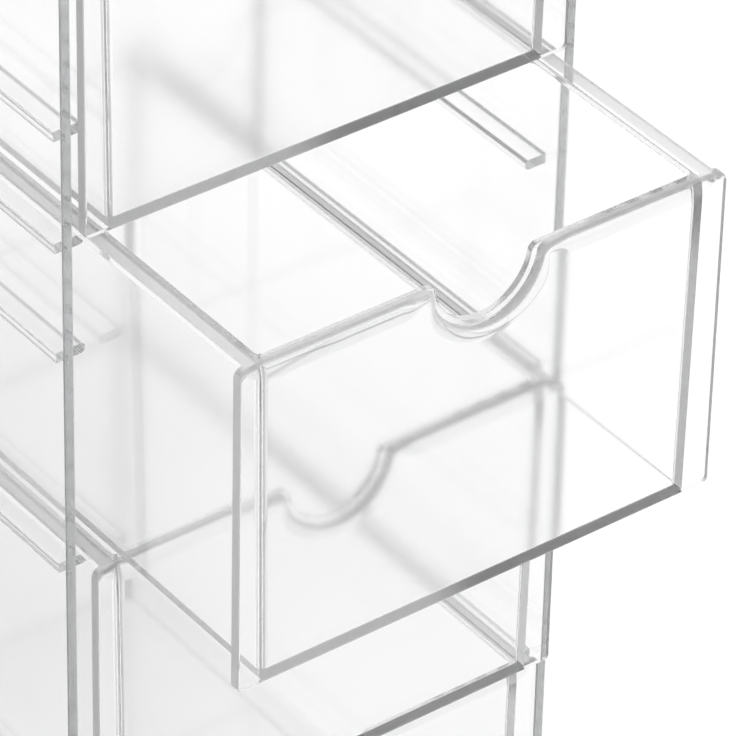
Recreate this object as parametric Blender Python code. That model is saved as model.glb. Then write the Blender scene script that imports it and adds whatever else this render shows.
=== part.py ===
"""Clear moulded drawer tower: an open-fronted cabinet with four hanging drawers.

Metres, +Z up, drawers pull out towards -Y. The origin is the centre of the cabinet's underside.
Each drawer is a tapered, filleted tray that hangs by its side flanges on rails inside the cabinet
walls, with a wider face plate bonded to its front. A half-round finger notch goes through plate
and tray. It is a little wider in the plate, whose top edge and notch are rounded over.
"""
import math

import bmesh
import bpy
from mathutils import Vector

# Face plates
PLATE_WIDTH = 0.1560
PLATE_HEIGHT = 0.1015
PLATE_THICKNESS = 0.0031
PLATE_TOP_CORNER_RADIUS = 0.0028
PLATE_BOTTOM_CORNER_RADIUS = 0.0016
PLATE_TOP_ROUNDING = 0.0024
PLATE_SIDE_ROUNDING = 0.0006

# Finger notch, its centre on the plate's top edge
PLATE_NOTCH_RADIUS = 0.0170
TRAY_NOTCH_RADIUS = 0.0154
NOTCH_CORNER_RADIUS = 0.0028

# Moulded trays
WING_WIDTH = 0.0069
TRAY_WALL = 0.0027
TRAY_DRAFT = 0.0010
TRAY_FRONT_CORNER_RADIUS = 0.0010
TRAY_BACK_CORNER_RADIUS = 0.0065
TRAY_INNER_FRONT_RADIUS = 0.0014
TRAY_FLOOR_FILLET = 0.0010
TRAY_EDGE_ROUNDING = 0.0009
FLANGE_THICKNESS = 0.0022
FLANGE_INSET = 0.0026
FLANGE_END_RADIUS = 0.0015

# Cabinet
DRAWER_COUNT = 4
RAILS_PER_PITCH = 3
CABINET_WALL = 0.0032
CABINET_DEPTH = 0.2040
PLATE_SIDE_GAP = 0.0018
PLATE_STACK_GAP = 0.00185
STACK_END_GAP = 0.0018
TRAY_BACK_GAP = 0.0050
PANEL_SOFTENING = 0.0005

# Rails on the cabinet's side walls
RAIL_WIDTH = 0.0070
RAIL_THICKNESS = 0.0032
RAIL_SETBACK = 0.0054
RAIL_TIP_ROUNDING = 0.0011

# Clearances: between bonded pieces, and under a flange that rests on its rail
BOND_GAP = 0.0003
SEAT_GAP = 0.0003

# How far each drawer stands open, from the top one down
DRAWERS_OPEN = (0.0, 0.0675, 0.0042, 0.0)

# Levels of the rails, counted in rail spacings below the top drawer's own rail. A drawer hangs
# on every third one.
RAIL_LEVELS = (0, 2, 3, 4, 6, 9)

# How far a cutter reaches past what it cuts
CUT_OVERRUN = 0.0040

# Facets on a quarter of a round form
NOTCH_STEPS = 10
CORNER_STEPS = 4
FILLET_STEPS = 4
ROUNDING_STEPS = 4
SMOOTH_ANGLE = math.radians(30)

# Places and sizes that follow from the ones above
DRAWER_PITCH = PLATE_HEIGHT + PLATE_STACK_GAP
RAIL_SPACING = DRAWER_PITCH / RAILS_PER_PITCH
INNER_HALF_WIDTH = PLATE_WIDTH / 2 + PLATE_SIDE_GAP
OUTER_HALF_WIDTH = INNER_HALF_WIDTH + CABINET_WALL
PANEL_HALF_WIDTH = INNER_HALF_WIDTH - BOND_GAP
STACK_HEIGHT = (DRAWER_COUNT - 1) * DRAWER_PITCH + PLATE_HEIGHT
CABINET_HEIGHT = 2 * (CABINET_WALL + STACK_END_GAP) + STACK_HEIGHT
CABINET_FRONT = -CABINET_DEPTH / 2
CABINET_BACK = CABINET_DEPTH / 2
BACK_PANEL_FRONT = CABINET_BACK - CABINET_WALL
RAIL_DROP = FLANGE_THICKNESS + SEAT_GAP
STACK_TOP = CABINET_HEIGHT - CABINET_WALL - STACK_END_GAP
TRAY_TOP_HALF_WIDTH = PLATE_WIDTH / 2 - WING_WIDTH
TRAY_INNER_BACK_RADIUS = TRAY_BACK_CORNER_RADIUS - TRAY_WALL
FLANGE_HALF_WIDTH = PLATE_WIDTH / 2 - FLANGE_INSET

# A closed drawer's plate stands in front of the cabinet's front edges, its back face level with
# them. Lengths along a drawer are counted from its plate's front face.
TRAY_FRONT = PLATE_THICKNESS + BOND_GAP
TRAY_BACK = PLATE_THICKNESS + CABINET_DEPTH - CABINET_WALL - TRAY_BACK_GAP

# Clear plastic: tint and roughness of each kind of piece
PANEL_FINISH = ((0.93, 0.94, 0.95), 0.05)
RAIL_FINISH = ((0.86, 0.88, 0.90), 0.08)
PLATE_FINISH = ((0.96, 0.97, 0.98), 0.04)
TRAY_FINISH = ((0.90, 0.92, 0.94), 0.06)


def clear_scene():
    """Remove every object that the scene starts with."""
    for item in list(bpy.data.objects):
        bpy.data.objects.remove(item, do_unlink=True)


def clear_plastic(name, tint, roughness):
    """Return a see-through moulded plastic."""
    material = bpy.data.materials.new(name)
    material.use_nodes = True
    shader = material.node_tree.nodes["Principled BSDF"]
    shader.inputs["Base Color"].default_value = (*tint, 1)
    shader.inputs["Roughness"].default_value = roughness
    shader.inputs["Metallic"].default_value = 0
    shader.inputs["IOR"].default_value = 1.49
    shader.inputs["Transmission Weight"].default_value = 1
    material.diffuse_color = (*tint, 0.4)
    return material


def add_object(name, shape, finish, place, parent):
    """Turn a bmesh into a named object with its own material, at a place under its parent."""
    mesh = bpy.data.meshes.new(name)
    shape.to_mesh(mesh)
    shape.free()
    mesh.shade_smooth()
    mesh.set_sharp_from_angle(angle=SMOOTH_ANGLE)
    mesh.materials.append(clear_plastic(name, *finish))
    item = bpy.data.objects.new(name, mesh)
    bpy.context.collection.objects.link(item)
    item.parent = parent
    item.location = place
    return item


def add_empty(name, place):
    """Add an empty that carries the pieces of one body."""
    empty = bpy.data.objects.new(name, None)
    bpy.context.collection.objects.link(empty)
    empty.location = place
    return empty


def box_shape(low, high):
    """Return a box between two corners."""
    shape = bmesh.new()
    bmesh.ops.create_cube(shape, size=1)
    middle = (Vector(low) + Vector(high)) / 2
    extent = Vector(high) - Vector(low)
    bmesh.ops.scale(shape, vec=extent, verts=shape.verts)
    bmesh.ops.translate(shape, vec=middle, verts=shape.verts)
    return shape


def round_edges(shape, edges, width, steps):
    """Round the given edges over."""
    bmesh.ops.bevel(shape, geom=edges, offset=width, offset_type="OFFSET", segments=steps,
                    profile=0.5, affect="EDGES", clamp_overlap=True)


def arc(centre, radius, start, end, steps):
    """Return points of an arc and their outward directions. Angles are in quarter turns."""
    points = []
    for step in range(steps + 1):
        angle = math.pi / 2 * (start + (end - start) * step / steps)
        direction = Vector((math.cos(angle), math.sin(angle)))
        points.append((Vector(centre) + radius * direction, direction))
    return points


def loft(rings):
    """Return a closed skin through rings of equally many points, capped at both ends."""
    shape = bmesh.new()
    loops = [[shape.verts.new(point) for point in ring] for ring in rings]
    for lower, upper in zip(loops, loops[1:]):
        for index in range(len(lower)):
            following = (index + 1) % len(lower)
            shape.faces.new((lower[index], lower[following], upper[following], upper[index]))
    shape.faces.new(reversed(loops[0]))
    shape.faces.new(loops[-1])
    return shape


def add_panel(name, low, high, parent):
    """Add a flat cabinet panel whose cut edges are slightly softened."""
    shape = box_shape(low, high)
    round_edges(shape, list(shape.edges), PANEL_SOFTENING, 1)
    return add_object(name, shape, PANEL_FINISH, (0, 0, 0), parent)


def add_cabinet(parent):
    """Add five panels: full-height sides, with the top, bottom and back set between them."""
    for side, sign in (("left", -1), ("right", 1)):
        inner, outer = sorted((sign * INNER_HALF_WIDTH, sign * OUTER_HALF_WIDTH))
        add_panel(f"{side}_side_panel", (inner, CABINET_FRONT, 0),
                  (outer, CABINET_BACK, CABINET_HEIGHT), parent)
    half = PANEL_HALF_WIDTH
    ceiling = CABINET_HEIGHT - CABINET_WALL
    add_panel("bottom_panel", (-half, CABINET_FRONT, 0), (half, CABINET_BACK, CABINET_WALL),
              parent)
    add_panel("top_panel", (-half, CABINET_FRONT, ceiling),
              (half, CABINET_BACK, CABINET_HEIGHT), parent)
    add_panel("back_panel", (-half, BACK_PANEL_FRONT, CABINET_WALL + BOND_GAP),
              (half, CABINET_BACK, ceiling - BOND_GAP), parent)


def rail_shape(sign):
    """Return a rail for one wall: square at its front end, its free long edges rounded."""
    root = sign * (INNER_HALF_WIDTH - BOND_GAP)
    tip = sign * (INNER_HALF_WIDTH - RAIL_WIDTH)
    low = (min(root, tip), CABINET_FRONT + RAIL_SETBACK, -RAIL_THICKNESS)
    high = (max(root, tip), BACK_PANEL_FRONT - BOND_GAP, 0)
    shape = box_shape(low, high)
    middle = (root + tip) / 2
    tip_edges = []
    for edge in shape.edges:
        start, end = (vert.co for vert in edge.verts)
        lengthwise = abs(start.y - end.y) > RAIL_WIDTH
        if lengthwise and sign * (start.x - middle) < 0:
            tip_edges.append(edge)
    round_edges(shape, tip_edges, RAIL_TIP_ROUNDING, ROUNDING_STEPS)
    return shape


def add_rails(parent):
    """Add a pair of rails at each level of the two side walls, numbered from the top."""
    for number, level in enumerate(RAIL_LEVELS, start=1):
        height = STACK_TOP - RAIL_DROP - level * RAIL_SPACING
        for side, sign in (("left", -1), ("right", 1)):
            add_object(f"{side}_rail_{number}", rail_shape(sign), RAIL_FINISH,
                       (0, 0, height), parent)


def notch_edge(radius, height):
    """Return the notch's edge from right to left in the front view, its two corners rounded."""
    corner = NOTCH_CORNER_RADIUS
    reach = math.sqrt((radius + corner) ** 2 - corner ** 2)
    turn = math.asin(corner / (radius + corner)) / (math.pi / 2)
    right = arc((reach, height - corner), corner, 1, 2 - turn, CORNER_STEPS)
    left = arc((-reach, height - corner), corner, turn, 1, CORNER_STEPS)
    hollow = arc((0, height), radius, -turn, turn - 2, 2 * NOTCH_STEPS)
    hollow = [(point, -direction) for point, direction in hollow[1:-1]]
    return right + hollow + left


def plate_outline():
    """Return the plate's outline: points, outward directions and how much each is rounded."""
    half = PLATE_WIDTH / 2
    foot = PLATE_BOTTOM_CORNER_RADIUS
    head = PLATE_TOP_CORNER_RADIUS
    head_height = PLATE_HEIGHT - head
    outline = []
    for point, direction in arc((-half + foot, foot), foot, 2, 3, CORNER_STEPS):
        outline.append((point, direction, PLATE_SIDE_ROUNDING))
    for point, direction in arc((half - foot, foot), foot, 3, 4, CORNER_STEPS):
        outline.append((point, direction, PLATE_SIDE_ROUNDING))
    extra_rounding = PLATE_TOP_ROUNDING - PLATE_SIDE_ROUNDING
    right = arc((half - head, head_height), head, 0, 1, CORNER_STEPS)
    for step, (point, direction) in enumerate(right):
        rounding = PLATE_SIDE_ROUNDING + extra_rounding * step / CORNER_STEPS
        outline.append((point, direction, rounding))
    for point, direction in notch_edge(PLATE_NOTCH_RADIUS, PLATE_HEIGHT):
        outline.append((point, direction, PLATE_TOP_ROUNDING))
    left = arc((-half + head, head_height), head, 1, 2, CORNER_STEPS)
    for step, (point, direction) in enumerate(left):
        rounding = PLATE_TOP_ROUNDING - extra_rounding * step / CORNER_STEPS
        outline.append((point, direction, rounding))
    return outline


def plate_shape():
    """Return the face plate: its outline swept from a rounded front edge to a square back."""
    outline = plate_outline()
    rings = []
    for step in range(ROUNDING_STEPS + 1):
        angle = math.pi / 2 * step / ROUNDING_STEPS
        ring = []
        for point, direction, rounding in outline:
            place = point - direction * rounding * (1 - math.sin(angle))
            depth = rounding * (1 - math.cos(angle))
            ring.append((place.x, depth, place.y))
        rings.append(ring)
    rings.append([(point.x, PLATE_THICKNESS, point.y) for point, _, _ in outline])
    return loft(rings)


def tray_ring(height, inset, front_radius, back_radius):
    """Return a rounded rectangle round the tray at a height, inset from its outer skin."""
    draft = TRAY_DRAFT * (1 - height / PLATE_HEIGHT)
    half = TRAY_TOP_HALF_WIDTH - draft - inset
    front = TRAY_FRONT + inset
    back = TRAY_BACK - draft - inset
    ring = arc((-half + front_radius, front + front_radius), front_radius, 2, 3, CORNER_STEPS)
    ring += arc((half - front_radius, front + front_radius), front_radius, 3, 4, CORNER_STEPS)
    ring += arc((half - back_radius, back - back_radius), back_radius, 0, 1, CORNER_STEPS)
    ring += arc((-half + back_radius, back - back_radius), back_radius, 1, 2, CORNER_STEPS)
    return [(point.x, point.y, height) for point, _ in ring]


def tray_rings():
    """Return the tray's rings: up its outer skin, over the rim, and down inside to the floor."""
    rings = []
    for step in range(ROUNDING_STEPS + 1):
        angle = math.pi / 2 * step / ROUNDING_STEPS
        inset = TRAY_EDGE_ROUNDING * (1 - math.sin(angle))
        height = TRAY_EDGE_ROUNDING * (1 - math.cos(angle))
        rings.append(tray_ring(height, inset, TRAY_FRONT_CORNER_RADIUS - inset,
                               TRAY_BACK_CORNER_RADIUS - inset))
    for height in (PLATE_HEIGHT - FLANGE_THICKNESS, PLATE_HEIGHT):
        rings.append(tray_ring(height, 0, TRAY_FRONT_CORNER_RADIUS, TRAY_BACK_CORNER_RADIUS))
    rings.append(tray_ring(PLATE_HEIGHT, TRAY_WALL, TRAY_INNER_FRONT_RADIUS,
                           TRAY_INNER_BACK_RADIUS))
    for step in range(FILLET_STEPS + 1):
        angle = math.pi / 2 * step / FILLET_STEPS
        inset = TRAY_FLOOR_FILLET * (1 - math.cos(angle))
        height = TRAY_WALL + TRAY_FLOOR_FILLET * (1 - math.sin(angle))
        rings.append(tray_ring(height, TRAY_WALL + inset, TRAY_INNER_FRONT_RADIUS - inset,
                               TRAY_INNER_BACK_RADIUS - inset))
    return rings


def draw_out_flanges(shape):
    """Extrude the top band of both side walls outwards into the flanges that hang on the rails."""
    band_middle = PLATE_HEIGHT - FLANGE_THICKNESS / 2
    for sign in (-1, 1):
        bands = []
        for face in shape.faces:
            centre = face.calc_center_median()
            in_band = abs(centre.z - band_middle) < FLANGE_THICKNESS / 4
            if in_band and sign * face.normal.x > math.cos(SMOOTH_ANGLE / 4):
                bands.append(face)
        longest = max(bands, key=lambda face: face.calc_area())
        result = bmesh.ops.extrude_discrete_faces(shape, faces=[longest])
        outer = result["faces"][0]
        for vert in outer.verts:
            vert.co.x = sign * FLANGE_HALF_WIDTH
        rear = max(vert.co.y for vert in outer.verts)
        rear_edges = []
        for edge in outer.edges:
            if all(abs(vert.co.y - rear) < BOND_GAP for vert in edge.verts):
                rear_edges.append(edge)
        round_edges(shape, rear_edges, FLANGE_END_RADIUS, ROUNDING_STEPS)


def tray_shape():
    """Return the tray: one tapered, filleted shell with its two side flanges."""
    shape = loft(tray_rings())
    bmesh.ops.recalc_face_normals(shape, faces=shape.faces)
    draw_out_flanges(shape)
    bmesh.ops.recalc_face_normals(shape, faces=shape.faces)
    return shape


def notch_cutter_shape():
    """Return the block that cuts the finger notch out of the tray's front wall."""
    front = TRAY_FRONT - CUT_OVERRUN
    back = TRAY_FRONT + TRAY_WALL + CUT_OVERRUN
    edge = [point for point, _ in notch_edge(TRAY_NOTCH_RADIUS, PLATE_HEIGHT)]
    above = PLATE_HEIGHT + CUT_OVERRUN
    outline = edge + [Vector((edge[-1].x, above)), Vector((edge[0].x, above))]
    shape = loft([[(point.x, depth, point.y) for point in outline] for depth in (front, back)])
    bmesh.ops.recalc_face_normals(shape, faces=shape.faces)
    return shape


def add_tray(name, parent):
    """Add a tray and cut the finger notch out of its front wall."""
    tray = add_object(name, tray_shape(), TRAY_FINISH, (0, 0, 0), parent)
    cutter = add_object(f"{name}_notch_cutter", notch_cutter_shape(), TRAY_FINISH,
                        (0, 0, 0), parent)
    cutter.hide_render = True
    cutter.display_type = "WIRE"
    cut = tray.modifiers.new("finger_notch", "BOOLEAN")
    cut.operation = "DIFFERENCE"
    cut.solver = "EXACT"
    cut.object = cutter
    return tray


def add_plate(name, parent):
    """Add a face plate."""
    shape = plate_shape()
    bmesh.ops.recalc_face_normals(shape, faces=shape.faces)
    return add_object(name, shape, PLATE_FINISH, (0, 0, 0), parent)


def add_drawers():
    """Add the drawers, numbered from the top, each as far open as it stands at rest."""
    for index in range(DRAWER_COUNT):
        number = index + 1
        bottom = STACK_TOP - PLATE_HEIGHT - index * DRAWER_PITCH
        front = CABINET_FRONT - PLATE_THICKNESS - DRAWERS_OPEN[index]
        drawer = add_empty(f"drawer_{number}", (0, front, bottom))
        add_plate(f"drawer_{number}_face_plate", drawer)
        add_tray(f"drawer_{number}_tray", drawer)


def main():
    """Build the whole tower."""
    clear_scene()
    cabinet = add_empty("cabinet", (0, 0, 0))
    add_cabinet(cabinet)
    add_rails(cabinet)
    add_drawers()


main()
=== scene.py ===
"""Looks of a clear four-drawer box: an open-fronted cabinet and four moulded drawers hung on rails.

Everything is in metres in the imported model's own frame: +Z up, drawers pull out towards -Y, and the
origin is the centre of the cabinet's underside.
"""

from __future__ import annotations

import logging
import math
from collections.abc import Callable, Iterable
from dataclasses import dataclass
from enum import Enum
from typing import Any

import bmesh
import bpy
from mathutils import Matrix, Vector

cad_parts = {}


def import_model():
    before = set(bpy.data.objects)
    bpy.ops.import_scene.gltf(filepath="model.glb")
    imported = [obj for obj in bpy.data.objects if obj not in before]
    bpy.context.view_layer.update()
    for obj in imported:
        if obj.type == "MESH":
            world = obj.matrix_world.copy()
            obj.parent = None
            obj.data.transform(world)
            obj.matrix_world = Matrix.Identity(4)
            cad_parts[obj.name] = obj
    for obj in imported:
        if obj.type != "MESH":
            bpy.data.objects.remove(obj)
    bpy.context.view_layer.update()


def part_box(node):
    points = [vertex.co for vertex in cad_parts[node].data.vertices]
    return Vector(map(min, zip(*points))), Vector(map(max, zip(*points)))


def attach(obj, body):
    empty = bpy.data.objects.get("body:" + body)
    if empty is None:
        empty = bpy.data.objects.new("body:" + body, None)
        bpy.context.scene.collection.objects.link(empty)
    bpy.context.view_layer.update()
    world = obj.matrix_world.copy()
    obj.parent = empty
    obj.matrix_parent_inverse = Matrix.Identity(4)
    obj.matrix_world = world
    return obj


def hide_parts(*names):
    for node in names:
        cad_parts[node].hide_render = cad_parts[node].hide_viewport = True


LOG = logging.getLogger("drawer_box")
IMAGE_SIDE = 736
TINY = 0.00001
SMOOTH_ANGLE = 32
FLAT_WEIGHT = 90
SURFACE_BOUNCES = 160
CLEAR_BOUNCES = 48
DRAWER_POLISH = (0.085, 0.070, 0.050, 0.050)


class Slot(Enum):
    """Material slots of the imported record."""

    PANEL = "panel"
    TRAY = "tray"


class Element(Enum):
    """What an edit-mode tool works on."""

    VERTICES = "VERT"
    EDGES = "EDGE"
    FACES = "FACE"


class Join(Enum):
    """How one solid meets another."""

    ADD = "UNION"
    CUT = "DIFFERENCE"


# Shader graph


class Value:
    """A shader socket that takes part in Python sums, each of which adds its Math node."""

    def __init__(self, graph: Graph, socket: bpy.types.NodeSocket) -> None:
        """Wrap a socket.

        Args:
            graph: The node graph that the socket belongs to.
            socket: The output socket.
        """
        self.graph = graph
        self.socket = socket

    def _math(self, operation: str, first: Any, second: Any) -> Value:
        """Add one Math node.

        Args:
            operation: The Math node's operation.
            first: A value or number.
            second: A value or number.

        Returns:
            The result.
        """
        node = self.graph.node("ShaderNodeMath", {"operation": operation}, {0: first, 1: second})
        return Value(self.graph, node.outputs[0])

    def __add__(self, other: Any) -> Value:
        """Return self + other."""
        return self._math("ADD", self, other)

    def __radd__(self, other: Any) -> Value:
        """Return other + self."""
        return self._math("ADD", other, self)

    def __sub__(self, other: Any) -> Value:
        """Return self - other."""
        return self._math("SUBTRACT", self, other)

    def __rsub__(self, other: Any) -> Value:
        """Return other - self."""
        return self._math("SUBTRACT", other, self)

    def __mul__(self, other: Any) -> Value:
        """Return self * other."""
        return self._math("MULTIPLY", self, other)

    def __rmul__(self, other: Any) -> Value:
        """Return other * self."""
        return self._math("MULTIPLY", other, self)

    def __pow__(self, other: Any) -> Value:
        """Return self ** other."""
        return self._math("POWER", self, other)

    def greatest(self, other: Any) -> Value:
        """Return the larger of self and other."""
        return self._math("MAXIMUM", self, other)

    def size(self) -> Value:
        """Return self without its sign."""
        return self._math("ABSOLUTE", self, 0.0)

    def rise(self, low: float, high: float) -> Value:
        """Return a smooth step from 0 to 1.

        Args:
            low: Where it leaves 0.
            high: Where it reaches 1.

        Returns:
            The step.
        """
        return self.graph.value("ShaderNodeMapRange", {"interpolation_type": "SMOOTHSTEP"}, {
            "Value": self, "From Min": low, "From Max": high, "To Min": 0.0, "To Max": 1.0})


class Graph:
    """A material's or world's node graph."""

    def __init__(self, tree: bpy.types.NodeTree) -> None:
        """Empty the graph.

        Args:
            tree: The node tree to build in.
        """
        self.tree = tree
        tree.nodes.clear()

    def node(self, kind: str, settings: dict[str, Any] | None = None,
             inputs: dict[int | str, Any] | None = None) -> bpy.types.Node:
        """Add any node.

        Args:
            kind: The node's type.
            settings: Its properties, set first.
            inputs: Values or links of its sockets, by name or number.

        Returns:
            The new node.
        """
        node = self.tree.nodes.new(kind)
        for key, setting in (settings or {}).items():
            setattr(node, key, setting)
        for key, value in (inputs or {}).items():
            if isinstance(value, Value):
                value = value.socket
            if isinstance(value, bpy.types.NodeSocket):
                self.tree.links.new(value, node.inputs[key])
            else:
                node.inputs[key].default_value = value
        return node

    def value(self, kind: str, settings: dict[str, Any] | None = None,
              inputs: dict[int | str, Any] | None = None, output: int | str = 0) -> Value:
        """Add a node and wrap one of its outputs.

        Args:
            kind: The node's type.
            settings: Its properties.
            inputs: Values or links of its sockets.
            output: The output socket's name or number.

        Returns:
            The wrapped output.
        """
        return Value(self, self.node(kind, settings, inputs).outputs[output])


# Finishes


class Spot:
    """The point being shaded: its place on the piece and its facing, each as three values."""

    def __init__(self, graph: Graph) -> None:
        """Read the point.

        Args:
            graph: The graph.
        """
        source = graph.node("ShaderNodeTexCoord")
        self.graph = graph
        self.place = source.outputs["Object"]
        self.x, self.y, self.z = self._parts(source.outputs["Object"])
        self.facing = [part.size() for part in self._parts(source.outputs["Normal"])]

    def _parts(self, socket: bpy.types.NodeSocket) -> list[Value]:
        """Split a vector.

        Args:
            socket: The vector.

        Returns:
            Its three parts.
        """
        node = self.graph.node("ShaderNodeSeparateXYZ", {}, {0: socket})
        return [Value(self.graph, output) for output in node.outputs]

    def noise(self, size: float, detail: float = 2.0, roughness: float = 0.5) -> Value:
        """Return an uneven pattern.

        Args:
            size: How large its patches are.
            detail: How many finer layers it has.
            roughness: How strong they are.

        Returns:
            The pattern, about 0.5.
        """
        return self.graph.value("ShaderNodeTexNoise", {}, {
            "Vector": self.place, "Scale": 1 / size, "Detail": detail, "Roughness": roughness})

    def edges(self, low: float = 0.08, high: float = 0.20) -> Value:
        """Return 1 on rounded edges and 0 on flat faces.

        Args:
            low: The least tilt that counts.
            high: The tilt that counts in full.

        Returns:
            The mask.
        """
        across, along, up = self.facing
        return (1 - across.greatest(along).greatest(up)).rise(low, high)


@dataclass(frozen=True)
class ClearPlastic:
    """Clear, colourless moulded plastic.

    Broad moulding waves bend what is seen through it, smudges vary its polish, and handling has
    frosted its rounded edges.
    """

    name: str
    tint: tuple[float, float, float] = (1.0, 1.0, 1.0)
    # The grey that the tint blends towards: random cloudiness here, and painted shade in the
    # subclasses.
    cloud_and_shading_grey: tuple[float, float, float] = (0.62, 0.625, 0.63)
    worn: tuple[float, float, float] = (0.97, 0.97, 0.972)
    worn_roughness: float = 0.70
    worn_passing: float = 0.60
    polish: float = 0.045
    smudge_size: float = 0.030
    smudge: float = 0.03
    smudge_detail: float = 4.0
    smudge_contrast: float = 0.6
    wave_size: float = 0.045
    wave_detail: float = 1.5
    wave_contrast: float = 0.4
    wave_height: float = 0.00004
    edge_wear: float = 0.55
    wear_size: float = 0.006
    wear_detail: float = 3.0
    wear_contrast: float = 0.6
    least_wear: float = 0.75
    wear_spread: float = 0.5
    cloud: float = 0.02
    cloud_range: tuple[float, float] = (0.45, 0.9)
    refraction: float = 1.49
    absorbed: tuple[float, float, float] = (0.60, 0.61, 0.615)
    density: float = 8.5

    def build(self) -> bpy.types.Material:
        """Make the material.

        Returns:
            The material.
        """
        material = bpy.data.materials.new(self.name)
        material.use_nodes = True
        graph = Graph(material.node_tree)
        spot = Spot(graph)
        bump = graph.node("ShaderNodeBump", {}, {
            "Height": spot.noise(self.wave_size, self.wave_detail, self.wave_contrast),
            "Distance": self.wave_height, "Strength": 1.0})
        colour = graph.node("ShaderNodeMix", {"data_type": "RGBA"}, {
            "Factor": self._cloud_and_shading(spot), 6: (*self.tint, 1), 7: (*self.cloud_and_shading_grey, 1)})
        smudges = spot.noise(self.smudge_size, self.smudge_detail, self.smudge_contrast)
        shader = graph.node("ShaderNodeBsdfPrincipled", {}, {
            "Base Color": colour.outputs[2],
            "Roughness": self.polish + (smudges - 0.5) * self.smudge,
            "IOR": self.refraction, "Transmission Weight": 1.0, "Normal": bump.outputs["Normal"]})
        frost = graph.node("ShaderNodeBsdfPrincipled", {}, {
            "Base Color": (*self.worn, 1), "Roughness": self.worn_roughness,
            "Transmission Weight": self.worn_passing, "IOR": self.refraction,
            "Normal": bump.outputs["Normal"]})
        both = graph.node("ShaderNodeMixShader", {}, {
            0: self._wear(spot), 1: shader.outputs[0], 2: frost.outputs[0]})
        depth = graph.node("ShaderNodeVolumeAbsorption", {}, {
            "Color": (*self.absorbed, 1), "Density": self.density})
        graph.node("ShaderNodeOutputMaterial", {}, {
            "Surface": both.outputs[0], "Volume": depth.outputs[0]})
        material.diffuse_color = (*self.tint, 0.3)
        return material

    def _wear(self, spot: Spot) -> Value:
        """Say how frosted a spot is: rounded edges, unevenly, as handling does.

        Args:
            spot: The spot.

        Returns:
            0 where clear, 1 where frosted.
        """
        noise = spot.noise(self.wear_size, self.wear_detail, self.wear_contrast)
        return spot.edges() * (self.least_wear + noise * self.wear_spread) * self.edge_wear

    def _cloud_and_shading(self, spot: Spot) -> Value:
        """Say how dense a spot looks: a hardly seen cloudiness all over.

        Args:
            spot: The spot.

        Returns:
            0 where clear, 1 where dense.
        """
        return spot.noise(self.smudge_size).rise(*self.cloud_range) * self.cloud


@dataclass(frozen=True)
class ShellPlastic(ClearPlastic):
    """The cabinet's plastic, with painted shade on its rails that darkens them towards the wall that
    they grow out of.
    """

    density: float = 6.5
    rail_tip: float = 0.0728
    wall_face: float = 0.0796
    wall_blend: float = 0.0001
    back_face: tuple[float, float] = (0.0980, 0.0985)
    bottom_face: tuple[float, float] = (0.0040, 0.0050)
    top_face: tuple[float, float] = (0.4170, 0.4175)
    rail_painted_shading: float = 0.12

    def _cloud_and_shading(self, spot: Spot) -> Value:
        """Say how cloudy a spot looks, with painted shade on the rails, darker towards the wall.

        Args:
            spot: The spot.

        Returns:
            0 where clear, 1 where fully cloudy and shaded.
        """
        side = spot.x.size()
        on_rail = 1 - side.rise(self.wall_face, self.wall_face + self.wall_blend)
        on_rail = on_rail * (1 - spot.y.rise(*self.back_face)) * spot.z.rise(*self.bottom_face)
        on_rail = on_rail * (1 - spot.z.rise(*self.top_face))
        # Painted shade: the rails' base colour darkens from the tip towards the wall.
        root = side.rise(self.rail_tip, self.wall_face)
        return super()._cloud_and_shading(spot) + on_rail * root * self.rail_painted_shading


@dataclass(frozen=True)
class DrawerPlastic(ClearPlastic):
    """A drawer's plastic: frosted along the top of its rim and on its plate's cut sides, with a soft
    grey shade painted on its plate's rounded lip.
    """

    density: float = 2.4
    front: float = 0.0
    top: float = 0.1
    cavity_front: float = 0.0046
    cavity_half_width: float = 0.0696
    squarely: tuple[float, float] = (0.6, 0.9)
    rim_wear: float = 0.60
    rim_line: float = 0.0012
    rim_fade_share: float = 1.5
    rim_depth: tuple[float, float] = (0.0008, 0.0004)
    side_wear: float = 0.85
    cut_side: tuple[float, float] = (0.0772, 0.0776)
    lip_painted_shading: float = 0.35
    lip_first_tilt: tuple[float, float] = (0.0005, 0.0040)
    lip_last_tilt: tuple[float, float] = (0.07, 0.12)
    lip_depth: tuple[float, float] = (0.0024, 0.0026)
    lip_drop: tuple[float, float] = (0.0300, 0.0280)

    def _wear(self, spot: Spot) -> Value:
        """Say how frosted a spot is.

        Args:
            spot: The spot.

        Returns:
            0 where clear, 1 where frosted.
        """
        across, _, up = spot.facing
        side = spot.x.size()
        depth = spot.y - self.front
        beside = (side - self.cavity_half_width).greatest(self.cavity_front - depth)
        near_top = spot.z.rise(self.top - self.rim_depth[0], self.top - self.rim_depth[1])
        past_line = beside.rise(self.rim_line, self.rim_fade_share * self.rim_line)
        rim = up.rise(*self.squarely) * near_top * past_line * self.rim_wear
        cut = across.rise(*self.squarely) * side.rise(*self.cut_side) * self.side_wear
        return super()._wear(spot).greatest(rim).greatest(cut)

    def _cloud_and_shading(self, spot: Spot) -> Value:
        """Say how cloudy a spot looks, with a soft grey shade painted on the plate's rounded lip.

        Args:
            spot: The spot.

        Returns:
            0 where clear, 1 where fully cloudy and shaded.
        """
        # Painted shade: a soft grey band in the base colour of the plate's rounded lip.
        tilt = 1 - spot.facing[1]
        lip = tilt.rise(*self.lip_first_tilt) * (1 - tilt.rise(*self.lip_last_tilt))
        lip = lip * (1 - (spot.y - self.front).rise(*self.lip_depth))
        lip = lip * spot.z.rise(self.top - self.lip_drop[0], self.top - self.lip_drop[1])
        return super()._cloud_and_shading(spot) + lip * self.lip_painted_shading


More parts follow.
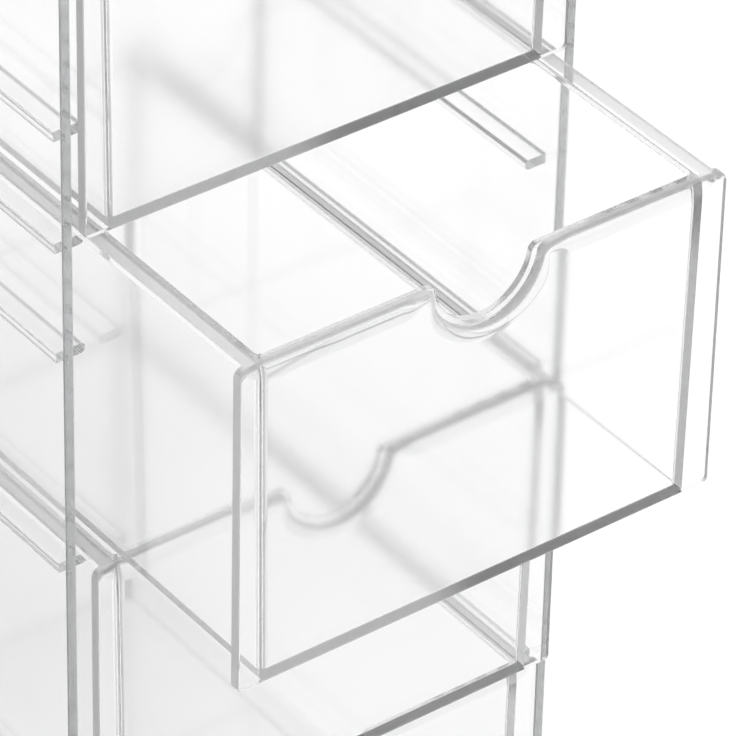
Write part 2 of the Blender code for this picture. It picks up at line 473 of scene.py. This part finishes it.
@dataclass(frozen=True)
class PaleFloor:
    """A plain white table top, with a soft pool of shade behind the box besides its shadow."""

    name: str = "pale_floor"
    colour: tuple[float, float, float] = (0.24, 0.24, 0.24)
    glow: float = 0.845
    shade_centre: tuple[float, float] = (0.09, 0.17)
    shade_reach: tuple[float, float] = (0.03, 0.25)
    shade_way: tuple[float, float] = (0.829, -0.558)
    shade_fade: tuple[float, float] = (-0.050, 0.070)
    shade: float = 0.38

    def build(self) -> bpy.types.Material:
        """Make the material.

        Returns:
            The material.
        """
        material = bpy.data.materials.new(self.name)
        material.use_nodes = True
        graph = Graph(material.node_tree)
        spot = Spot(graph)
        ray = graph.node("ShaderNodeLightPath")
        seen = Value(graph, ray.outputs["Is Camera Ray"])
        seen = seen.greatest(Value(graph, ray.outputs["Is Glossy Ray"]))
        seen = seen.greatest(Value(graph, ray.outputs["Is Transmission Ray"]))
        matt = graph.node("ShaderNodeBsdfDiffuse", {}, {"Color": (*self.colour, 1)})
        apart = ((spot.x - self.shade_centre[0]) ** 2 + (spot.y - self.shade_centre[1]) ** 2) ** 0.5
        across = spot.x * self.shade_way[0] + spot.y * self.shade_way[1]
        pool = (1 - apart.rise(*self.shade_reach)) * (1 - across.rise(*self.shade_fade))
        glow = graph.node("ShaderNodeEmission", {}, {
            "Strength": seen * (1 - pool * self.shade) * self.glow})
        both = graph.node("ShaderNodeAddShader", {}, {0: matt.outputs[0], 1: glow.outputs[0]})
        graph.node("ShaderNodeOutputMaterial", {}, {"Surface": both.outputs[0]})
        return material


# Modelling


class Workpiece:
    """One mesh that is modelled with Blender's own edit-mode tools."""

    def __init__(self, name: str) -> None:
        """Take the active object, just added as a primitive, as the workpiece.

        Args:
            name: The piece's name.
        """
        self.item = bpy.context.active_object
        self.item.name = name
        self.item.data.name = name
        bpy.ops.object.transform_apply(location=True, rotation=True, scale=True)

    @staticmethod
    def _clear_selection() -> None:
        """Deselect every object."""
        bpy.ops.object.select_all(action="DESELECT")

    @classmethod
    def block(cls, name: str, low: tuple[float, float, float],
              high: tuple[float, float, float]) -> Workpiece:
        """Start from a cube between two corners.

        Args:
            name: The piece's name.
            low: Its lowest corner.
            high: Its highest corner.

        Returns:
            The workpiece.
        """
        cls._clear_selection()
        middle = (Vector(low) + Vector(high)) / 2
        bpy.ops.mesh.primitive_cube_add(size=1, location=middle)
        bpy.context.active_object.scale = Vector(high) - Vector(low)
        return cls(name)

    @classmethod
    def drawn(cls, name: str, rings: list[list[Vector]]) -> Workpiece:
        """Start from a filled circle and draw it out ring by ring into a closed skin.

        Args:
            name: The piece's name.
            rings: The rings, each of equally many points.

        Returns:
            The workpiece.
        """
        cls._clear_selection()
        count = len(rings[0])
        bpy.ops.mesh.primitive_circle_add(vertices=count, radius=1, fill_type="NGON")
        piece = cls(name)
        mesh = piece.item.data
        for vertex, point in zip(mesh.vertices, rings[0]):
            vertex.co = point
        order = list(range(count))
        for ring in rings[1:]:
            start = len(mesh.vertices)
            piece._shape(Element.FACES, lambda face, order=tuple(sorted(order)):
                         tuple(sorted(vert.index for vert in face.verts)) == order,
                         bpy.ops.mesh.extrude_region_move)
            places = {tuple(mesh.vertices[index].co): step for step, index in enumerate(order)}
            order = sorted(range(start, start + count),
                           key=lambda index: places[tuple(mesh.vertices[index].co)])
            for index, point in zip(order, ring):
                mesh.vertices[index].co = point
        piece.merge_doubles()
        return piece

    def _activate(self) -> None:
        """Make this the only selected and the active object."""
        self._clear_selection()
        self.item.select_set(True)
        bpy.context.view_layer.objects.active = self.item

    def _shape(self, element: Element, test: Callable[[Any], bool],
               tool: Callable[..., Any], **settings: Any) -> None:
        """Select elements in edit mode and run a tool on them.

        Args:
            element: What is selected.
            test: Says of each element whether it is selected.
            tool: The operator.
            settings: The operator's settings.
        """
        self._activate()
        bpy.ops.object.mode_set(mode="EDIT")
        bpy.ops.mesh.select_mode(type=element.value)
        bpy.ops.mesh.select_all(action="DESELECT")
        shape = bmesh.from_edit_mesh(self.item.data)
        elements = {Element.VERTICES: shape.verts, Element.EDGES: shape.edges,
                    Element.FACES: shape.faces}[element]
        for part in elements:
            if test(part):
                part.select_set(True)
        shape.select_flush_mode()
        bmesh.update_edit_mesh(self.item.data)
        tool(**settings)
        bpy.ops.object.mode_set(mode="OBJECT")

    def round_edges(self, test: Callable[[bmesh.types.BMEdge], bool], radius: float,
                    steps: int) -> None:
        """Bevel the edges that pass a test.

        Args:
            test: Says whether an edge is rounded.
            radius: The radius.
            steps: How many facets.
        """
        self._shape(Element.EDGES, test, bpy.ops.mesh.bevel, offset_type="OFFSET",
                    offset=radius, segments=steps, profile=0.5, affect="EDGES",
                    clamp_overlap=False)

    def resize(self, test: Callable[[bmesh.types.BMVert], bool],
               factors: tuple[float, float, float], centre: tuple[float, float, float]) -> None:
        """Scale the vertices that pass a test.

        Args:
            test: Says whether a vertex moves.
            factors: The scale along each axis.
            centre: The point that stays.
        """
        self._shape(Element.VERTICES, test, bpy.ops.transform.resize, value=factors,
                    center_override=centre)

    def move(self, test: Callable[[bmesh.types.BMVert], bool],
             step: tuple[float, float, float]) -> None:
        """Move the vertices that pass a test.

        Args:
            test: Says whether a vertex moves.
            step: How far.
        """
        self._shape(Element.VERTICES, test, bpy.ops.transform.translate, value=step)

    def inset(self, test: Callable[[bmesh.types.BMFace], bool], width: float) -> None:
        """Inset the faces that pass a test.

        Args:
            test: Says whether a face is inset.
            width: The width of the border that is left.
        """
        self._shape(Element.FACES, test, bpy.ops.mesh.inset, thickness=width, depth=0,
                    use_even_offset=True)

    def extrude(self, test: Callable[[bmesh.types.BMFace], bool],
                move: tuple[float, float, float]) -> None:
        """Extrude the faces that pass a test.

        Args:
            test: Says whether a face is extruded.
            move: Where it goes.
        """
        self._shape(Element.FACES, test, bpy.ops.mesh.extrude_region_move,
                    TRANSFORM_OT_translate={"value": move})

    def meet(self, other: Workpiece, how: Join) -> None:
        """Join another solid to this one, or cut it out, and drop the other.

        Args:
            other: The other solid.
            how: Whether it is added or cut.
        """
        modifier = self.item.modifiers.new(how.name, "BOOLEAN")
        modifier.operation = how.value
        modifier.solver = "EXACT"
        modifier.object = other.item
        self._apply(modifier)
        bpy.data.objects.remove(other.item, do_unlink=True)

    def _apply(self, modifier: bpy.types.Modifier) -> None:
        """Apply one modifier.

        Args:
            modifier: The modifier.
        """
        self._activate()
        bpy.ops.object.modifier_apply(modifier=modifier.name)

    def merge_doubles(self, distance: float = TINY) -> None:
        """Merge vertices that share a place and turn all faces outwards.

        Args:
            distance: How near two vertices are merged.
        """
        self._shape(Element.VERTICES, lambda part: True, bpy.ops.mesh.remove_doubles,
                    threshold=distance)
        self._shape(Element.FACES, lambda part: True, bpy.ops.mesh.normals_make_consistent,
                    inside=False)

    def soften(self, radius: float, steps: int, angle: float) -> None:
        """Round every edge that is sharper than an angle.

        Args:
            radius: The radius.
            steps: How many facets.
            angle: The least angle, in degrees.
        """
        modifier = self.item.modifiers.new("soften", "BEVEL")
        modifier.width = radius
        modifier.segments = steps
        modifier.limit_method = "ANGLE"
        modifier.angle_limit = math.radians(angle)
        modifier.use_clamp_overlap = True
        modifier.miter_outer = "MITER_SHARP"
        self._apply(modifier)

    def copy(self, name: str, move: Vector, mirrored: bool = False) -> Workpiece:
        """Copy the piece with its own mesh to another place.

        Args:
            name: The copy's name.
            move: Where it goes.
            mirrored: Whether left and right change sides.

        Returns:
            The copy.
        """
        item = self.item.copy()
        item.data = self.item.data.copy()
        bpy.context.scene.collection.objects.link(item)
        bpy.context.view_layer.objects.active = item
        if mirrored:
            item.data.transform(Matrix.Scale(-1, 4, Vector((1, 0, 0))))
            item.data.flip_normals()
        item.data.transform(Matrix.Translation(move))
        self._clear_selection()
        item.select_set(True)
        return Workpiece(name)

    def drop(self) -> None:
        """Remove the piece."""
        bpy.data.objects.remove(self.item, do_unlink=True)

    def finish(self, material: bpy.types.Material, body: str, slot: Slot,
               nodes: Iterable[str]) -> bpy.types.Object:
        """Smooth the piece, give it its material and hand it to the frame.

        Args:
            material: Its material.
            body: The body that it rides on.
            slot: The record's material slot; not used.
            nodes: The CAD nodes that it stands for.

        Returns:
            The finished object.
        """
        self._activate()
        bpy.ops.object.shade_smooth_by_angle(angle=math.radians(SMOOTH_ANGLE))
        modifier = self.item.modifiers.new("true_flats", "WEIGHTED_NORMAL")
        modifier.keep_sharp = True
        modifier.weight = FLAT_WEIGHT
        self._apply(modifier)
        self.item.data.materials.clear()
        self.item.data.materials.append(material)
        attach(self.item, body)
        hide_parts(*nodes)
        return self.item


def runs_along(edge: bmesh.types.BMEdge, axis: int) -> bool:
    """Tell whether an edge runs along an axis.

    Args:
        edge: The edge.
        axis: 0, 1 or 2.

    Returns:
        Whether it does.
    """
    step = edge.verts[0].co - edge.verts[1].co
    return all(abs(step[other]) < abs(step[axis]) * 0.1 for other in range(3) if other != axis)


def arc(centre: tuple[float, float], radius: float, start: float, end: float,
        steps: int) -> list[tuple[Vector, Vector]]:
    """Trace an arc.

    Args:
        centre: Its centre.
        radius: Its radius.
        start: Where it starts, in quarter turns.
        end: Where it ends, in quarter turns.
        steps: How many facets it has.

    Returns:
        Its points and their outward directions.
    """
    traced = []
    for step in range(steps + 1):
        angle = math.pi / 2 * (start + (end - start) * step / steps)
        way = Vector((math.cos(angle), math.sin(angle)))
        traced.append((Vector(centre) + radius * way, way))
    return traced


def middle_of(edge: bmesh.types.BMEdge) -> Vector:
    """Return an edge's midpoint."""
    return (edge.verts[0].co + edge.verts[1].co) / 2


# Drawers


@dataclass
class Drawer:
    """One clear moulding: a tapered tray with side flanges, and its wider, rounded front plate.

    Lengths in depth are counted from the plate's front face, heights from the drawer's underside.
    """

    plate_half_width: float = 0.0780
    height: float = 0.1015
    plate_thickness: float = 0.0031
    plate_head_radius: float = 0.0028
    plate_foot_radius: float = 0.0016
    plate_rounding: float = 0.0024
    plate_side_share: float = 0.25
    lip_height: float = 0.0062
    lip_fade: float = 0.0080
    bowl_lip: float = 0.0044
    corner_steps: int = 10
    bowl_steps: int = 64
    rounding_steps: int = 12
    plate_notch_radius: float = 0.0170
    tray_notch_radius: float = 0.0154
    notch_corner: float = 0.0028
    tray_half_width: float = 0.0711
    tray_back: float = 0.1989
    wall: float = 0.0015
    floor: float = 0.0018
    draft: float = 0.0010
    back_radius: float = 0.0065
    inner_radius: float = 0.0016
    floor_fillet: float = 0.0005
    under_rounding: float = 0.0006
    flange_reach: float = 0.0043
    flange_thickness: float = 0.0022
    flange_end_radius: float = 0.0015
    softening: float = 0.0003
    soften_angle: float = 50
    bury: float = 0.0005

    def build(self) -> Workpiece:
        """Model one drawer at the origin.

        Returns:
            The fused moulding.
        """
        plate = self._plate()
        tray = self._tray()
        plate.meet(tray, Join.ADD)
        plate.merge_doubles()
        return plate

    def _notch_edge(self, radius: float) -> list[tuple[Vector, Vector]]:
        """Trace the finger notch from right to left, its two mouth corners rounded.

        Args:
            radius: The notch's radius.

        Returns:
            Points and outward directions in the plane of the front.
        """
        corner = self.notch_corner
        reach = math.sqrt((radius + corner) ** 2 - corner ** 2)
        turn = math.asin(corner / (radius + corner)) / (math.pi / 2)
        right = arc((reach, self.height - corner), corner, 1, 2 - turn, self.corner_steps)
        left = arc((-reach, self.height - corner), corner, turn, 1, self.corner_steps)
        bowl = arc((0, self.height), radius, -turn, turn - 2, self.bowl_steps)
        return right + [(point, -way) for point, way in bowl[1:-1]] + left

    def _notch_tool(self, radius: float, front: float, back: float) -> Workpiece:
        """Make the tool that cuts a finger notch with rounded mouth corners.

        Args:
            radius: The notch's radius.
            front: Where the tool starts in depth.
            back: Where it ends.

        Returns:
            The tool.
        """
        edge = [point for point, _ in self._notch_edge(radius)]
        above = self.height + self.notch_corner
        outline = edge + [Vector((edge[-1].x, above)), Vector((edge[0].x, above))]
        return Workpiece.drawn("notch_tool", [[Vector((point.x, depth, point.y))
                                               for point in outline]
                                              for depth in (front, back)])

    def _plate_outline(self) -> list[tuple[Vector, Vector, float, float]]:
        """Trace the plate: points, outward directions, and how tall and deep each is rounded."""
        half, head, foot = self.plate_half_width, self.plate_head_radius, self.plate_foot_radius
        deep = self.plate_rounding
        side = deep * self.plate_side_share
        steps = self.corner_steps
        outline = [(point, way, side, side)
                   for point, way in (arc((-half + foot, foot), foot, 2, 3, steps)
                                      + arc((half - foot, foot), foot, 3, 4, steps))]
        right = []
        for step, (point, way) in enumerate(arc((half - head, self.height - head), head, 0, 1,
                                                steps)):
            rounding = side + (deep - side) * step / steps
            right.append((point, way, rounding, rounding))
        up = Vector((0, 1))
        edge = self._notch_edge(self.plate_notch_radius)
        mouth = edge[0][0].x
        shoulder = half - head
        for start, end, low, high in ((shoulder, self.tray_half_width, deep, self.lip_height),
                                      (mouth + self.lip_fade, mouth, self.lip_height, deep)):
            for step in range(1, steps):
                share = (1 - math.cos(math.pi * step / steps)) / 2
                right.append((Vector((start + (end - start) * step / steps, self.height)), up,
                              low + (high - low) * share, deep))
        outline += right
        for step, (point, way) in enumerate(edge):
            inside = min(step, len(edge) - 1 - step) - steps
            share = (1 - math.cos(math.pi * min(max(inside / steps, 0), 1))) / 2
            outline.append((point, way, deep + (self.bowl_lip - deep) * share, deep))
        outline += [(Vector((-point.x, point.y)), Vector((-way.x, way.y)), tall, depth)
                    for point, way, tall, depth in reversed(right)]
        return outline

    def _plate(self) -> Workpiece:
        """Model the front plate, swept from its rounded front edge to its square back.

        Returns:
            The plate.
        """
        outline = self._plate_outline()
        rings = []
        for step in range(self.rounding_steps + 1):
            angle = math.pi / 2 * step / self.rounding_steps
            rings.append([Vector((place.x, depth * (1 - math.cos(angle)), place.y))
                          for point, way, tall, depth in outline
                          for place in [point - way * tall * (1 - math.sin(angle))]])
        rings.append([Vector((point.x, self.plate_thickness, point.y))
                      for point, _, _, _ in outline])
        return Workpiece.drawn("front_plate", rings)

    def _tray(self) -> Workpiece:
        """Model the tray, its front end buried a little in the plate.

        Returns:
            The tray.
        """
        half, height = self.tray_half_width, self.height
        front = self.plate_thickness - self.bury
        ledge = height - self.flange_thickness
        tray = Workpiece.block("tray", (-half, front, 0), (half, self.tray_back, ledge))
        length = self.tray_back - front
        tray.resize(lambda vert: vert.co.z < TINY,
                    ((half - self.draft) / half, (length - self.draft) / length, 1),
                    (0, front, 0))
        tray.round_edges(lambda edge: middle_of(edge).y > self.tray_back - 2 * self.draft
                         and abs(edge.verts[0].co.z - edge.verts[1].co.z) > height / 2,
                         self.back_radius, 8)
        tray.round_edges(lambda edge: max(vert.co.z for vert in edge.verts) < TINY
                         and middle_of(edge).y > front + TINY, self.under_rounding, 4)
        tray.extrude(lambda face: face.normal.z > 0.9, (0, 0, self.flange_thickness))
        self._hollow(tray, front)
        self._flanges(tray, ledge)
        tool = self._notch_tool(self.tray_notch_radius, front - self.wall,
                                self.plate_thickness + 2 * self.wall)
        tray.meet(tool, Join.CUT)
        tray.merge_doubles()
        tray.soften(self.softening, 2, self.soften_angle)
        return tray

    def _hollow(self, tray: Workpiece, front: float) -> None:
        """Sink the tray's inside, with a filleted floor and rounded corners.

        Args:
            tray: The tray.
            front: Where the tray's block starts in depth.
        """
        top = self.height
        tray.inset(lambda face: face.normal.z > 0.9 and face.calc_center_median().z > top - TINY,
                   self.wall)
        tray.move(lambda vert: vert.co.z > top - TINY
                  and abs(vert.co.y - front - self.wall) < TINY, (0, self.bury, 0))
        inner_half = self.tray_half_width - self.wall
        inner_front = self.plate_thickness + self.wall

        def is_mouth(face: bmesh.types.BMFace) -> bool:
            """Tell the face that the inset left in the middle of the top."""
            return (face.normal.z > 0.9 and face.calc_center_median().z > top - TINY
                    and max(abs(vert.co.x) for vert in face.verts) < inner_half + TINY
                    and face.calc_area() > inner_half * inner_half)

        tray.extrude(is_mouth, (0, 0, self.floor - top))
        length = self.tray_back - self.wall - inner_front
        tray.resize(lambda vert: abs(vert.co.z - self.floor) < TINY
                    and abs(vert.co.x) < inner_half + TINY and vert.co.y > front + TINY,
                    ((inner_half - self.draft) / inner_half, (length - self.draft) / length, 1),
                    (0, inner_front, 0))
        tray.round_edges(lambda edge: abs(middle_of(edge).y - inner_front) < TINY
                         and abs(edge.verts[0].co.z - edge.verts[1].co.z) > top / 2,
                         self.inner_radius, 8)
        tray.round_edges(lambda edge: all(abs(vert.co.z - self.floor) < TINY
                                          for vert in edge.verts)
                         and middle_of(edge).y > front + self.wall, self.floor_fillet, 6)

    def _flanges(self, tray: Workpiece, ledge: float) -> None:
        """Draw out the top band of both side walls into the flanges.

        Args:
            tray: The tray.
            ledge: The flanges' underside.
        """
        for side in (-1, 1):
            tray.extrude(lambda face, side=side: side * face.normal.x > 0.9
                         and face.calc_center_median().z > ledge
                         and face.calc_area() > self.flange_thickness * self.tray_back / 2,
                         (side * self.flange_reach, 0, 0))
            outer = self.tray_half_width + self.flange_reach
            tray.round_edges(lambda edge, side=side: runs_along(edge, 2)
                             and side * middle_of(edge).x > outer - TINY
                             and middle_of(edge).y > self.tray_back / 2,
                             self.flange_end_radius, 6)


# Cabinet


@dataclass
class Cabinet:
    """The cabinet: one clear shell, open at the front, with six pairs of rails on its walls."""

    half_width: float = 0.0830
    half_depth: float = 0.1020
    height: float = 0.42155
    wall: float = 0.0032
    edge_rounding: float = 0.0005
    rail_reach: float = 0.0070
    rail_thickness: float = 0.0032
    rail_front: float = -0.0966
    rail_tip_rounding: float = 0.0014
    bury: float = 0.0012

    def build(self) -> Workpiece:
        """Model the shell and fuse its rails to it.

        Returns:
            The fused shell.
        """
        shell = Workpiece.block("cabinet_shell", (-self.half_width, -self.half_depth, 0),
                                (self.half_width, self.half_depth, self.height))
        shell.inset(lambda face: face.normal.y < -0.9, self.wall)
        shell.extrude(lambda face: face.normal.y < -0.9
                      and max(abs(vert.co.x) for vert in face.verts) < self.half_width - TINY
                      and face.calc_area() > self.half_width * self.half_width,
                      (0, 2 * self.half_depth - self.wall, 0))
        inner = self.half_width - self.wall
        shell.round_edges(
            lambda edge: abs(middle_of(edge).x) > self.half_width - TINY
            or middle_of(edge).z < TINY or middle_of(edge).z > self.height - TINY
            or (abs(middle_of(edge).y + self.half_depth) < TINY
                and abs(middle_of(edge).x) < inner + TINY),
            self.edge_rounding, 3)
        self._fuse_rails(shell, inner)
        shell.merge_doubles()
        return shell

    def _fuse_rails(self, shell: Workpiece, inner: float) -> None:
        """Model one rail, copy it to every place that the frame gives, and fuse all to the shell.

        Args:
            shell: The shell.
            inner: Half the width between the walls.
        """
        rail = Workpiece.block(
            "rail", (-inner - self.bury, self.rail_front, -self.rail_thickness),
            (-inner + self.rail_reach, self.half_depth - self.wall + self.bury, 0))
        tip = -inner + self.rail_reach
        rail.round_edges(lambda edge: runs_along(edge, 1) and middle_of(edge).x > tip - TINY,
                         self.rail_tip_rounding, 5)
        for number in range(1, 7):
            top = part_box(f"left_rail_{number}")[1].z
            for mirrored in (False, True):
                copy = rail.copy(f"rail_{number}", Vector((0, 0, top)), mirrored)
                shell.meet(copy, Join.ADD)
        rail.drop()

    @staticmethod
    def nodes() -> list[str]:
        """Return the CAD nodes that the shell stands for."""
        names = ["left_side_panel", "right_side_panel", "top_panel", "bottom_panel", "back_panel"]
        return names + [f"{side}_rail_{number}" for side in ("left", "right")
                        for number in range(1, 7)]


# Stage


@dataclass
class Studio:
    """Floor, soft light and camera."""

    azimuth: float = 38.503
    elevation: float = 35.444
    roll: float = 1.955
    focal_px: float = 5933.8
    centre_px: tuple[float, float] = (456.32, 294.40)
    eye: tuple[float, float, float] = (-0.77191, -1.12924, 1.18033)
    floor_half: float = 4.0
    floor_drop: float = 0.0004
    sensor: float = 36.0
    clip: tuple[float, float] = (0.05, 50)

    def build(self) -> None:
        """Make all three."""
        self._floor()
        self._world()
        self._camera()

    def _floor(self) -> None:
        """Lay the floor."""
        bpy.ops.object.select_all(action="DESELECT")
        bpy.ops.mesh.primitive_plane_add(size=2 * self.floor_half,
                                         location=(0, 0, -self.floor_drop))
        floor = bpy.context.active_object
        floor.name = "floor"
        bpy.ops.object.transform_apply(location=True, rotation=True, scale=True)
        floor.data.materials.append(PaleFloor().build())

    def _world(self) -> None:
        """Light everything softly from all round."""
        world = bpy.data.worlds.new("soft_studio")
        bpy.context.scene.world = world
        world.use_nodes = True
        graph = Graph(world.node_tree)
        light = graph.node("ShaderNodeBackground", {}, {"Color": (1, 1, 1, 1), "Strength": 1.0})
        graph.node("ShaderNodeOutputWorld", {}, {"Surface": light.outputs[0]})

    def _camera(self) -> None:
        """Stand the camera where the photograph was taken from."""
        azimuth, elevation, roll = (math.radians(angle) for angle in
                                    (self.azimuth, self.elevation, self.roll))
        ahead = Vector((math.sin(azimuth) * math.cos(elevation),
                        math.cos(azimuth) * math.cos(elevation), -math.sin(elevation)))
        right = Vector((math.cos(azimuth), -math.sin(azimuth), 0))
        up = right.cross(ahead)
        turned_right = math.cos(roll) * right + math.sin(roll) * up
        turned_up = -math.sin(roll) * right + math.cos(roll) * up
        data = bpy.data.cameras.new("camera")
        camera = bpy.data.objects.new("camera", data)
        bpy.context.scene.collection.objects.link(camera)
        axes = Matrix((turned_right, turned_up, -ahead)).transposed()
        camera.matrix_world = Matrix.Translation(self.eye) @ axes.to_4x4()
        data.sensor_width = self.sensor
        data.lens = self.focal_px * data.sensor_width / IMAGE_SIDE
        data.shift_x = (IMAGE_SIDE / 2 - self.centre_px[0]) / IMAGE_SIDE
        data.shift_y = (self.centre_px[1] - IMAGE_SIDE / 2) / IMAGE_SIDE
        data.clip_start, data.clip_end = self.clip
        bpy.context.scene.camera = camera


def set_up_render() -> None:
    """Set the colour view and let light pass through many layers of clear plastic."""
    scene = bpy.context.scene
    scene.view_settings.view_transform = "Standard"
    scene.cycles.max_bounces = SURFACE_BOUNCES
    scene.cycles.transmission_bounces = SURFACE_BOUNCES
    scene.cycles.glossy_bounces = SURFACE_BOUNCES
    scene.cycles.transparent_max_bounces = CLEAR_BOUNCES


def main() -> None:
    """Build the box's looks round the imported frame."""
    logging.basicConfig(level=logging.INFO, format="%(message)s")
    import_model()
    set_up_render()
    shell = Cabinet().build()
    piece = shell.finish(ShellPlastic("cabinet_plastic").build(), "cabinet", Slot.PANEL,
                         Cabinet.nodes())
    LOG.info("%s: %d faces", piece.name, len(piece.data.polygons))
    moulding = Drawer()
    pattern = moulding.build()
    for number, polish in enumerate(DRAWER_POLISH, start=1):
        low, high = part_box(f"drawer_{number}_face_plate")
        drawer = pattern.copy(f"drawer_{number}_moulding", Vector((0, low.y, low.z)))
        finish = DrawerPlastic(
            f"drawer_{number}_plastic", polish=polish, front=low.y, top=high.z,
            cavity_front=moulding.plate_thickness + moulding.wall,
            cavity_half_width=moulding.tray_half_width - moulding.wall)
        piece = drawer.finish(finish.build(), f"drawer_{number}", Slot.TRAY,
                              [f"drawer_{number}_face_plate", f"drawer_{number}_tray"])
        LOG.info("%s: %d faces", piece.name, len(piece.data.polygons))
    pattern.drop()
    Studio().build()


if __name__ == "__main__":
    main()
